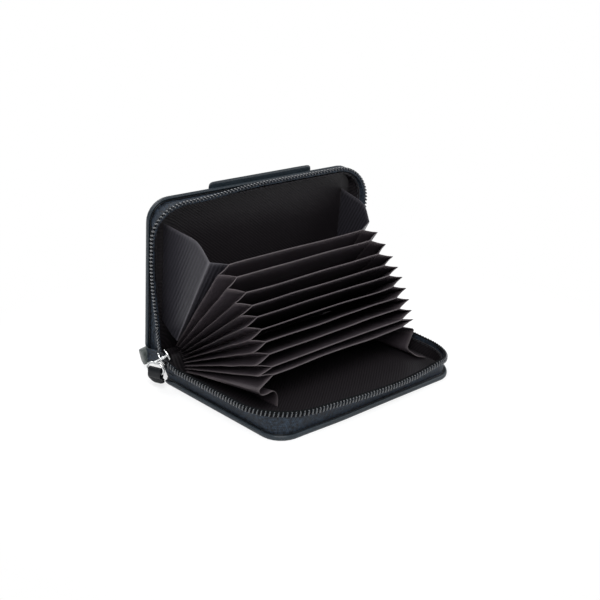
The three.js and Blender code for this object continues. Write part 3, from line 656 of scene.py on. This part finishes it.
def wall(hand, level, depth):
    """Points of the splayed zip wall at a level, 0 its foot and 1 its top, for every station."""
    kinds, shares = wall_stations()
    on_side, on_front, near = (kinds == 0) | (kinds == 4), kinds == 2, kinds < 2
    level = np.broadcast_to(level, shares.shape)
    splay = level ** LEAN
    lean_near, lean_mouth, lean_other = SPLAY[hand]
    first, second = (WIDTH / 2 - WALL_INSET - depth + splay * lean for lean in (lean_near, lean_other))
    round_first, round_second = (
        lerp(foot - WALL_INSET, rim, splay) - depth
        for foot, rim in zip((COVER_CORNER, FAR_CORNER[hand]), RIM_CORNER[hand]))
    half, radius = np.where(near, first, second), np.where(near, round_first, round_second)
    sign = np.where(near, hand, -hand)
    turn = shares * math.pi / 2
    swell = np.sin(np.pi * shares ** 1.35) * splay
    drawn = np.where(kinds == 0, DRAWN_IN[hand] * splay * (1 - ease(shares * 1.15)), 0)
    x = np.where(on_side, sign * (half - drawn),
                 np.where(on_front, hand * lerp(first - round_first, round_second - second, shares),
                          sign * (half - radius + radius * np.cos(turn))))
    mouth_in = splay * np.where(kinds == 1, ease(shares), on_front * (1 - ease(shares * 2)))
    front = DEPTH / 2 - WALL_INSET - depth + splay * lean_mouth - MOUTH_IN[hand] * mouth_in
    start = REAR - np.where(kinds == 0, WALL_START[hand], WALL_END)
    y = np.where(on_side, lerp(start, -front + radius, shares),
                 np.where(on_front, -front - BOW[hand] * swell,
                          -front + radius - radius * np.sin(turn)))
    drop = np.where(on_front, SINK[hand] * swell, 0)
    drop = drop + SIDE_DROP[hand] * level * np.where(kinds == 3, ease(1 - shares), kinds == 4)
    return stacked(x, y, lerp(WALL_BASE, RIM[hand], level) - drop)


def slider_distance(hand):
    """How far each station of the wall's top edge lies from the spine."""
    return REAR - wall(hand, 1.0, 0)[:, 1]


def wall_tops(hand):
    """The level of the wall's top edge: lowered beside the slider."""
    kinds, _ = wall_stations()
    share = ease((slider_distance(hand) - NOTCH[hand]) / NOTCH_RAMP)
    return np.where(kinds == 0, lerp(NOTCH_LEVEL, 1.0, share), 1.0)


def level_outward(path, hand):
    """Level directions out of a tray, square to the path along its wall."""
    return unit(np.cross(directions(path), UP) * -hand)


# Trays: leather panel, piping, zip tape, teeth and lining
def add_cover(tray, hand, put):
    """A leather panel whose turned edge stands up as a roll, except along the spine."""
    widest = COVER_CORNER - 2.5
    insets_and_heights = [
        (16, 0.02), (8, 0.03), (4, 0.02), (2, 0), (0.9, 0), (0.35, 0.12), (0.08, 0.45), (0, 0.95), (0, 1.35),
        (0.07, 1.7), (0.28, 2.0), (0.6, 2.15), (0.9, 2.1), (1.15, 1.85), (1.3, 1.45), (1.55, 1.05),
        (4, LEATHER), (8, LEATHER), (16, LEATHER)]
    sections = []
    for inset, z in insets_and_heights:
        flat = plate_outline(hand, min(inset, widest), inset)
        if inset > widest:
            flat = flat * np.array([1 - inset / WIDTH, 1 - inset / DEPTH])
        rolled = 1 - ease((flat[:, 1] - REAR + 7) / 5)
        sections.append(np.column_stack([flat, lerp(min(z, LEATHER), z, rolled)]))
    verts, faces = loft_parts(sections)
    obj = make(f"{tray}_cover_leather", put(verts), faces, BLACK)
    dress(obj, f"{tray}_tray", f"{tray}_cover")


def add_piping(tray, hand, put):
    """The cord in the groove between the rolled edge and the zip wall."""
    radius, inset, height = 0.3, 1.5, 1.9
    half, front = WIDTH / 2 - inset, DEPTH / 2 - inset
    near, far = COVER_CORNER - inset, FAR_CORNER[hand] - inset
    bends = quarter_arcs([(-half + near, -front + near, near, 180), (half - far, -front + far, far, 270)], 20)
    path = evenly(np.vstack([[[-half, REAR - 1]], bends, [[half, REAR - 1]]]), 220)
    path = stacked(*path.T, height)
    obj = loft(f"{tray}_piping_cord", put(tube_sections(path, radius, 10, UP)), SMOOTH)
    dress(obj, f"{tray}_tray", f"{tray}_piping")


def add_tape(tray, hand, put):
    """A strip up the outer face of the wall, over its top and down the inner face."""
    tops = wall_tops(hand)
    shares = np.linspace(0, 1, 14)
    outer = [wall(hand, tops * s, 0) for s in shares]
    inner = [wall(hand, tops * s, TAPE) for s in shares[::-1]]
    obj = loft(f"{tray}_zip_cloth", put(np.stack(outer + inner, axis=1)), TAPE_CLOTH)
    dress(obj, f"{tray}_tray", f"{tray}_zip_tape")
    length = path_length(wall(hand, 0.6, 0))


def coil(path, outward):
    """Slanted, rounded turns of the zip's coil along a path, with the way out at each of its points."""
    length = path_length(path)
    places = np.arange(TOOTH_PITCH / 2, length - TOOTH_PITCH / 3, TOOTH_PITCH)
    nearest = np.clip(np.round(places / length * (len(path) - 1)).astype(int), 0, len(path) - 1)
    along = unit(resample(path, places + 0.2) - resample(path, places - 0.2))
    long, wide, tall = (size / 2 for size in TOOTH)
    tilt = np.radians([-82, -62, -38, -12, 12, 38, 62, 82])[:, None]
    turn = around(10)
    ring = blunt(np.cos(tilt), 0.7)
    tooth = stacked(long * ring * blunt(np.cos(turn), 0.9), wide * ring * blunt(np.sin(turn), 0.9),
                    tall * blunt(np.sin(tilt), 0.8))
    parts = []
    for centre, ahead, out in zip(resample(path, places), along, outward[nearest]):
        up = np.cross(ahead, out)
        up *= np.sign(up[2] + 0.3 * up[1]) / np.linalg.norm(up)
        parts.append(loft_parts(centre + tooth @ np.stack([ahead, out, up + TOOTH_SLANT * ahead])))
    return merge(parts)


def add_teeth(tray, hand, put):
    """The coil along the outer face of the wall's top edge, and behind it a near-black strip of painted shade
    that darkens the gaps between its turns.
    """
    stop = 2.4
    path = wall(hand, 1.0, 0)[wall_tops(hand) > 0.93]
    path = resample(path, np.linspace(0, path_length(path) - stop, 400))
    out = level_outward(path, hand)
    beside, over = COIL_AT[hand]
    middle = path + beside * out + over * UP
    verts, faces = coil(middle, out)
    obj = make(f"{tray}_teeth_row", put(verts), faces, TEETH, sharp=60)
    dress(obj, f"{tray}_tray", f"{tray}_teeth")
    # Painted shade: the cord here is no part of the zip but a near-black strip standing for the shadow in the
    # gaps between the coil's turns
    cord = band_sections(middle - SHADE_BEHIND * out - SHADE_DROP[hand] * UP, out, SHADE_WIDE, SHADE_TALL[hand], 0.6)
    shade_bed = loft(f"{tray}_teeth_painted_shade", put(cord), PAINTED_SHADE)
    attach(shade_bed, f"{tray}_tray")


def add_top_stop(tray, hand, put):
    """The metal clip on the end of the coil, away from the slider."""
    wide, tall, behind, below = 0.95, 1.25, 0.15, 0.9
    path = wall(hand, 1.0, 0)
    length = path_length(path)
    path = resample(path, np.linspace(length - 2.2, length - 0.1, 9))
    out = level_outward(path, hand)
    size = np.array([0.75, 0.97, 1, 1, 1, 1, 1, 0.97, 0.75])[:, None]
    sections = band_sections(path - behind * out - below * UP, out, wide * size, tall * size, 0.45)
    obj = loft(f"{tray}_stop_metal", put(sections), METAL, sharp=60)
    dress(obj, f"{tray}_tray", f"{tray}_top_stop")


def add_lining(tray, hand, put):
    """One cloth: a floor from the spine to the wall, then up the wall to its sewn top edge."""
    low = (LINING_BASE + LINING / 2 - WALL_BASE) / (RIM[hand] - WALL_BASE)
    depth = TAPE + FIT_GAP + LINING / 2
    tops = wall_tops(hand) * LINING_LEVEL
    foot = wall(hand, low, depth)
    spine = stacked(np.linspace(foot[0, 0], foot[-1, 0], len(foot)), REAR - 1, foot[0, 2])
    floor = [lerp(spine, foot, s) for s in np.linspace(0, 0.97, 12)]
    lip = [wall(hand, lerp(low, tops, s), depth) for s in np.linspace(0.06, 1, 9)]
    grid = np.stack(floor + lip, axis=1)
    soft = ripple(grid, 38, 11 if tray == "lower" else 12) * 0.12
    soft[:, :2] = 0
    soft[:, -3:] = 0
    grid[..., 2] += np.maximum(soft, -0.05)
    wear = np.zeros(grid.shape[:2])
    wear[:, -1] = 0.1
    obj = sheet(f"{tray}_lining_cloth", put(grid), LINING, SATIN, wear)
    dress(obj, f"{tray}_tray", f"{tray}_lining")


def add_lining_seam(tray, hand, put):
    """The seam that holds the lining to the tape, seen as a row of stitches inside the wall."""
    below_edge, margin, pitch, length, radius = 0.07, 6, 2.6, 1.8, 0.17
    path = wall(hand, wall_tops(hand) * (LINING_LEVEL - below_edge), TAPE + FIT_GAP + LINING + 0.08)
    verts, faces = stitches(path, np.arange(margin, path_length(path) - margin, pitch), length, radius)
    obj = make(f"{tray}_lining_seam", put(verts), faces, THREAD)
    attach(obj, f"{tray}_tray")


# Accordion
def leaf_name(k):
    return f"leaf_{k:02d}"


def add_leaf(k):
    """A leaf that waves a little more towards its free edge, with a worn front fold."""
    x = np.linspace(-LEAF_WIDTH / 2, LEAF_WIDTH / 2, 30)
    distance = np.linspace(0.2, LEAF_LENGTH, 24)
    flat = np.stack(np.meshgrid(x, distance, indexing="ij"), -1)
    free = (flat[..., 1] / LEAF_LENGTH) ** 2
    wave = ripple(np.dstack([flat, np.zeros(flat.shape[:2])]), 60, 40 + k) * 0.3 * free
    edge = np.clip(np.abs(flat[..., 0]) / (LEAF_WIDTH / 2), 0, 1) ** 8
    grid = on_leaf(k, flat[..., 0], flat[..., 1], wave * (1 - edge))
    wear = np.zeros(flat.shape[:2])
    wear[:, -1] = 0.55
    obj = sheet(f"{leaf_name(k)}_leatherette", grid, LEAF_THICK, LEATHERETTE, wear)
    dress(obj, leaf_name(k), leaf_name(k))


GUSSET_X = LEAF_WIDTH / 2 + 0.05


def add_pocket_gusset(k, side, label):
    """Two facets between the ends of neighbouring leaves, folded outwards at a worn crease."""
    half_angle = math.radians(POCKET_ANGLES[k - 1] / 2)
    tip_half = LEAF_PITCH / 2 - GUSSET_SEAT + LEAF_LENGTH * math.sin(half_angle)
    facet = math.hypot(CREASE_X - LEAF_WIDTH / 2, tip_half)
    rows, crease_column = [], 8
    for distance in np.linspace(1, LEAF_LENGTH, 20):
        low = on_leaf(k, side * GUSSET_X, distance, GUSSET_SEAT)
        high = on_leaf(k + 1, side * GUSSET_X, distance, -GUSSET_SEAT)
        crease = (low + high) / 2
        half = np.linalg.norm(high - low) / 2
        crease[0] += side * math.sqrt(facet * facet - half * half)
        crease[2] += 0.12 * half * ripple(np.array([[distance, 7.0 * k, side * 3.0]]), 30, 70)[0]
        pinch = (high - low) * 0.06
        lower = smooth_line([low, lerp(low, crease, 0.55) + pinch, crease], crease_column + 1, 3)
        upper = smooth_line([crease, lerp(high, crease, 0.55) - pinch, high], crease_column + 1, 3)
        rows.append(np.vstack([lower, upper[1:]]))
    grid = np.array(rows)
    wear = np.zeros(grid.shape[:2])
    wear[:, crease_column] = 0.75
    wear[:, [0, -1]] = 0.35
    wear[-1] = np.maximum(wear[-1], 0.6)
    node = f"pocket_gusset_{k:02d}_{label}"
    obj = sheet(f"{node}_fold", grid, GUSSET, LEATHERETTE, wear, sharp=35)
    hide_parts(node)
    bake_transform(obj)


def add_note_gusset(side, label):
    """A narrow facet from the top leaf to its crease, then a panel that bends over to the lining."""
    lift, bulge = math.tan(math.radians(3.45)), 4.8
    seat_x, first_height, last_height, root = WIDTH / 2 - FLOOR_INSET - 3, 18, 62.7, 3
    rows, crease_column = [], 8
    for t in np.linspace(0, 1, 26):
        distance, height = lerp(root, LEAF_LENGTH, t), lerp(first_height, last_height, t)
        low = on_leaf(LEAVES, side * GUSSET_X, distance, GUSSET_SEAT)
        crease = on_leaf(LEAVES, side * CREASE_X, distance, distance * lift + GUSSET_SEAT)
        seat = to_upper(np.array([-side * seat_x, REAR - height, FLOOR_TOP + GUSSET]))
        bend = lerp(crease, seat, 0.3)
        bend[0] = crease[0] + side * 0.4
        bend += unit(crease - on_leaf(LEAVES, crease[0], 0)) * bulge * t
        facet = smooth_line([low, lerp(low, crease, 0.5), crease], crease_column + 1, 2)
        panel = smooth_line([crease, bend, seat], 22, 3.5 * t + 0.5)
        rows.append(np.vstack([facet, panel[1:]]))
    grid = np.array(rows)
    wear = np.zeros(grid.shape[:2])
    wear[:, crease_column] = 0.75
    wear[-1] = np.maximum(wear[-1], 0.5)
    node = f"note_gusset_{label}"
    obj = sheet(f"{node}_panel", grid, GUSSET, NOTE_SATIN, wear, sharp=35)
    dress(obj, "upper_tray", node)
    foot = to_upper(np.array([0, REAR - 34, FLOOR_TOP]))
    normal = to_upper(np.array([0, REAR - 34, FLOOR_TOP + 1])) - foot
    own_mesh(obj)


# Corners of the coin gussets' section under the leaf: distance from the middle, and share of the way down
COIN_CURLS = {
    "left": [(CREASE_X, 0.28), (CREASE_X - 0.3, 0.4), (43.8, 0.5), (41, 0.5), (38.2, 0.46), (36.3, 0.6),
             (35.6, 0.8), (36, 1)],
    "right": [(CREASE_X + 0.3, 0.2), (CREASE_X, 0.28), (43.6, 0.55), (41.8, 0.8), (42.4, 0.94), (46, 1)],
}
COIN_FLANGE = {"left": 0, "right": 7.5}


def add_coin_gusset(side, label):
    """An outward crease under the lowest leaf, then a curl down to the lining; on the right it ends in
    a flange that runs forward along the floor."""
    rows = []
    for distance in np.linspace(0.6, LEAF_LENGTH, 27):
        low = on_leaf(1, side * GUSSET_X, distance, -GUSSET_SEAT)
        height = low[2] - FLOOR_TOP - GUSSET
        corners = [low]
        for x, share in COIN_CURLS[label]:
            forward = COIN_FLANGE[label] * ease((share - 0.8) / 0.2) * (distance / LEAF_LENGTH) ** 2
            corners.append(np.array([side * x, low[1] - forward, low[2] - share * height]))
        rows.append(smooth_line(corners, 30, 1.6))
    grid = np.array(rows)
    crease = np.clip((np.abs(grid[..., 0]) - CREASE_X + 0.9) / 0.6, 0, 1)
    wear = crease * 0.5 * (grid[..., 2] > 4)
    wear[-1] = np.maximum(wear[-1], 0.6)
    node = f"coin_gusset_{label}"
    obj = sheet(f"{node}_curl", grid, GUSSET, LEATHERETTE, wear, sharp=40)
    dress(obj, "lower_tray", node)
    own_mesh(obj)


def blend_trays(obj):
    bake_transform(obj)


def add_back_strip():
    """The strip behind the roots of the leaves, from one lining to the other."""
    behind = 0.6
    rows = []
    for x in np.linspace(-LEAF_WIDTH / 2, LEAF_WIDTH / 2, 12):
        foot = np.array([x, COIN_PIVOT[0] + behind, FLOOR_TOP + GUSSET])
        roots = [on_leaf(k, x, -behind) for k in range(1, LEAVES + 1)]
        head = to_upper(np.array([-x, REAR - 10, FLOOR_TOP + GUSSET]))
        rows.append(smooth_line([foot, *roots, head], 40, 0.5))
    obj = sheet("accordion_back_strip", np.array(rows), GUSSET, LEATHERETTE)
    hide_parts("accordion_back")
    blend_trays(obj)


def add_spine_strip(name, node, low, high, arch, thickness, material):
    """A strip that buckles upwards between two flat feet, from a line of points to another."""
    foot_length = 1.4
    share = np.linspace(0, 1, 34)
    foot = foot_length / np.linalg.norm(high - low, axis=-1)[:, None]
    rise = arch / 2 * (1 - np.cos(2 * math.pi * np.clip((share - foot) / (1 - 2 * foot), 0, 1)))
    grid = lerp(low[:, None], high[:, None], share[None, :, None])
    grid[..., 2] += rise
    grid[..., 2] += ripple(grid, 26, 90) * 0.18 * (rise / arch)
    obj = sheet(name, grid, thickness, material)
    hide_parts(node)
    blend_trays(obj)


def add_spine():
    def line(half, y, z):
        return stacked(np.linspace(-half, half, 41), y, z)

    mirror = np.array([-1, 1, 1])
    half, level, arch, lining_level, lining_arch = WIDTH / 2 - FLOOR_INSET, 0.75, 2.2, 2.2, 2.4
    upper_edge = to_upper(line(half, REAR, LEATHER) * mirror) - np.array([0, FIT_GAP, FIT_GAP])
    add_spine_strip("spine_leather_strip", "spine_leather", line(half, REAR + FIT_GAP, level), upper_edge,
                    arch, LEATHER, BLACK)
    lining_edge = to_upper(line(half, REAR - 3, FLOOR_TOP + FIT_GAP + LINING) * mirror)
    add_spine_strip("spine_lining_strip", "spine_lining", line(half, REAR - 0.7, lining_level), lining_edge,
                    lining_arch, LINING, SATIN)


# Flap, zip ends, slider and pull
def turned(points, angle):
    """Turned about Z."""
    c, s = math.cos(angle), math.sin(angle)
    return np.asarray(points) @ np.array([[c, s, 0], [-s, c, 0], [0, 0, 1]])


def pillow_sections(length, profile, crown, steps):
    """Sections of a soft bar along X whose ends round off."""
    x = np.linspace(-1, 1, steps)
    x = np.sign(x) * (1 - (1 - np.abs(x)) ** 1.6)
    close = np.sqrt(np.clip(1 - np.abs(x) ** 14, 0, 1)) * 0.94 + 0.06
    middle = profile.mean(axis=0)
    sections = []
    for place, share in zip(x, close):
        ring = middle + (profile - middle) * np.array([lerp(1 - crown * 0.12, 1, share), share])
        sections.append(stacked(place * length / 2, *ring.T))
    return np.array(sections)


def rounded_bar(low, high, thick):
    """A stadium outline in two coordinates, from low to high and thick across."""
    turn = np.linspace(-math.pi / 2, math.pi / 2, 9)
    radius = thick / 2
    first = stacked(high - radius + radius * np.cos(turn), radius * np.sin(turn))
    second = stacked(low + radius - radius * np.cos(turn), -radius * np.sin(turn))
    run = np.linspace(low + radius, high - radius, 8)[1:-1]
    return np.vstack([first, stacked(run[::-1], radius), second, stacked(run, -radius)])


def add_flap():
    """The folded flap on the outside of the upper cover, which stands out above its top edge."""
    width, height, thick, above, shift, corner = 54, 16, 1.8, 2, -3.6, 1.8
    top = -DEPTH / 2 - above
    profile = rounded_bar(top, top + height, thick) + np.array([0, -FIT_GAP - thick / 2])
    sections = pillow_sections(width, profile, 0.3, 30)
    end = np.clip((np.abs(sections[..., 0]) - width / 2 + corner) / corner, 0, 1)
    sections[..., 1] += np.where(sections[..., 1] < top + 4, 1.6 * (1 - np.sqrt(1 - end ** 2)), 0)
    sections[..., 0] += shift
    sections[..., 2] += np.minimum(ripple(sections, 30, 5) * 0.1, 0.05)
    obj = loft("back_flap_leather", to_upper(sections), BLACK, sharp=60)
    dress(obj, "upper_tray", "back_flap")
    half, level, face, pitch, length = width / 2 - corner, top + 13.8, -FIT_GAP - thick - 0.1, 2.8, 1.9
    seam = np.array([(shift - half, level, face), (shift + half, level, face)])
    verts, faces = stitches(seam, np.arange(0, 2 * half - length, pitch), length, 0.18)
    thread = make("back_flap_seam", to_upper(verts), faces, THREAD)
    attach(thread, "upper_tray")


def add_end_tab():
    """The folded leather end of the zip, beside the slider."""
    thick, depth, height, tilt = 3.6, 8, 4.2, math.radians(14)
    far = REAR + 1
    outline = rounded_bar(far - depth, far, height) + np.array([0, 2])
    sections = turned(pillow_sections(thick, outline, 0.2, 18) - [0, far - depth / 2, 0], tilt)
    sections += [WIDTH / 2 + END_TAB_OUT, far - 3, 0]
    obj = loft("zip_end_tab_leather", to_upper(sections), GREY, sharp=60)
    dress(obj, "upper_tray", "zip_end_tab")


def add_ring():
    wire, width, height, corner = 0.9, 9.2, 6, 2.9
    half, drop = (width - wire) / 2 - corner, height - wire - corner
    loop = quarter_arcs([(half, -corner, corner, 0), (-half, -corner, corner, 90),
                         (-half, -drop, corner, 180), (half, -drop, corner, 270)], 12)
    sections = tube_sections(stacked(0, *loop.T), wire / 2, 16, np.array([1.0, 0, 0]), closed=True)
    obj = loft("pull_ring_wire", RING_AT + turned(sections, PULL_TURN), METAL, closed=True)
    dress(obj, "pull_ring", "pull_ring")


def add_pull_tab():
    """A leather loop round the ring's lower bar that widens into a hanging tab."""
    drop, hole, neck, off_table = 5.1, 0.85, 3, 3.1
    length = RING_AT[2] - drop - off_table
    turn = around(24)
    rings = stacked(np.cos(turn), np.linspace(-neck, neck, 9)[:, None], np.sin(turn))
    outer = rings * np.array([1.4, 1, 2])
    outer[..., 2] *= np.where(outer[..., 2] > 0, 1.65, 1)
    inner = rings[::-1] * np.array([hole, 1, hole])
    parts = [loft_parts(np.concatenate([outer, inner]), closed=True)]
    z = np.linspace(0, 1, 26)
    half = neck + 1.1 * ease(z / 0.3) - 1.5 * np.clip((z - 0.78) / 0.22, 0, 1) ** 2.2
    tip = np.sqrt(np.clip(1 - np.clip((z - 0.9) / 0.1, 0, 1) ** 2, 0.06, 1))
    thick = (1.0 + 0.12 * np.sin(z * math.pi)) * tip
    slant = 1.6 * np.clip((z - 0.1) / 0.9, 0, 1)
    level = -1.0 - z * (length - 1.0)
    across, along = blunt(np.cos(turn), 0.8), blunt(np.sin(turn), 0.35)
    parts.append(loft_parts([stacked(across * t, along * (h - s) - s, place)
                             for t, h, s, place in zip(thick, half, slant, level)]))
    verts, faces = merge(parts)
    verts = RING_AT + turned(verts - drop * UP, PULL_TURN)
    obj = make("pull_tab_leather", verts, faces, SMOOTH, sharp=60)
    dress(obj, "pull_tab", "pull_tab")


def on_slider(mouth, up, out):
    """Points of the slider by their places along its three axes."""
    return (SLIDER + SLIDER_SHIFT + np.multiply.outer(mouth, SLIDER_MOUTH) + np.multiply.outer(up, SLIDER_UP)
            + np.multiply.outer(out, SLIDER_OUT))


def add_slider():
    """Two dished plates held apart by a post, and an arch on the outer one for the ring."""
    reach, plate_profile = 3.0, ((0.3, 1.45), (0.06, 1.5), (0, 1.65), (0, 1.9), (0.06, 2.05), (0.3, 2.1))
    post_at, post_long, post_wide, post_half, bridge_wire = 1.5, 1.4, 0.85, 1.8, 0.9
    turn = around(48)
    parts = []
    for side in (1, -1):
        sections = []
        for shrink, level in plate_profile:
            mouth = (reach - shrink) * blunt(np.cos(turn), 0.8)
            up = (reach + 0.16 * mouth - shrink) * blunt(np.sin(turn), 0.7)
            dish = 0.05 * up ** 2 * (0.6 + 0.1 * mouth)
            sections.append(on_slider(mouth, up, side * (level - dish)))
        parts.append(loft_parts(sections))
    parts.append(loft_parts([
        on_slider(post_at + post_long * np.cos(turn), post_wide * np.sin(turn), np.full(48, out))
        for out in np.linspace(-post_half, post_half, 5)]))
    verts, faces = merge(parts)
    body = make("slider_metal", verts, faces, METAL, sharp=45)
    dress(body, "lower_tray", "slider")
    eye = RING_AT + np.array([-0.9, 0, 0.3])
    line = smooth_line([on_slider(-1.6, 0, 1.8), on_slider(-1, 0, 3.6), eye, on_slider(2.2, 0, 1.8)], 30, 1.2)
    wire = tube_sections(line, bridge_wire / 2, 12, SLIDER_UP)
    arch = loft("slider_bridge_metal", wire, METAL)
    dress(arch, "lower_tray", "slider_bridge")


def add_tape_end(tray, hand, put):
    """A tongue of tape, with its coil, from the lowered wall to the flank of the slider."""
    edge = put(wall(hand, wall_tops(hand), TAPE / 2))[:SIDE]
    edge = edge[slider_distance(hand)[:SIDE] < NOTCH[hand] + NOTCH_RAMP + 0.5]
    edge = evenly(edge, 14)
    flank = on_slider(np.linspace(-2, 2.7, 14), hand * np.linspace(2, 2.7, 14), np.zeros(14))
    grid = lerp(edge[:, None], flank[:, None], np.linspace(0.03, 1, 10)[None, :, None])
    cloth = sheet(f"{tray}_tape_tongue", grid, TAPE / 2, TAPE_CLOTH)
    line, outward = grid[-1], np.array([-1.0, 0, 0])
    from_rim = put((0.25 - TOOTH[2] / 2) * UP) - put(np.zeros(3))
    line = line + from_rim * np.linspace(1, 0, len(line))[:, None] + 0.5 * outward
    verts, faces = coil(line, np.tile(outward, (len(line), 1)))
    turns = make(f"{tray}_tongue_coil", verts, faces, TEETH, sharp=60)
    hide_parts(f"{tray}_tape_end")
    for obj in (cloth, turns):
        if tray == "lower":
            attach(obj, "lower_tray")
        else:
            blend_trays(obj)


def add_zip_tail():
    """The tape behind the slider, which runs round the end of the spine into the end tab."""
    half_at_nose, half_at_tab = 2.2, 3.0
    nose, tab = on_slider(-2.2, 0, 0), to_upper(np.array([WIDTH / 2 + END_TAB_OUT, REAR - 3, 3.2]))
    across = np.linspace(-1, 1, 7)[None, :, None]
    share = np.linspace(0, 1, 14)[:, None, None]
    grid = lerp(nose + across * half_at_nose * SLIDER_UP, tab + across * half_at_tab * UP, share)
    obj = sheet("zip_tail_cloth", grid, TAPE / 2, TAPE_CLOTH)
    blend_trays(obj)


def finish_boards():
    for node in ("lower_board", "upper_board"):
        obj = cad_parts[node]
        obj.data.materials.clear()
        obj.data.materials.append(BOARD)


add_camera()
add_studio()
for tray_name, (tray_hand, tray_put) in TRAYS.items():
    for add_piece in (add_cover, add_piping, add_tape, add_teeth, add_top_stop, add_lining, add_lining_seam):
        add_piece(tray_name, tray_hand, tray_put)
for number in range(1, LEAVES + 1):
    add_leaf(number)
for side_label, side_sign in (("left", -1), ("right", 1)):
    for number in range(1, LEAVES):
        add_pocket_gusset(number, side_sign, side_label)
    add_note_gusset(side_sign, side_label)
    add_coin_gusset(side_sign, side_label)
add_back_strip()
add_spine()
add_flap()
add_end_tab()
add_ring()
add_pull_tab()
add_slider()
for tray_name, (tray_hand, tray_put) in TRAYS.items():
    add_tape_end(tray_name, tray_hand, tray_put)
add_zip_tail()
finish_boards()
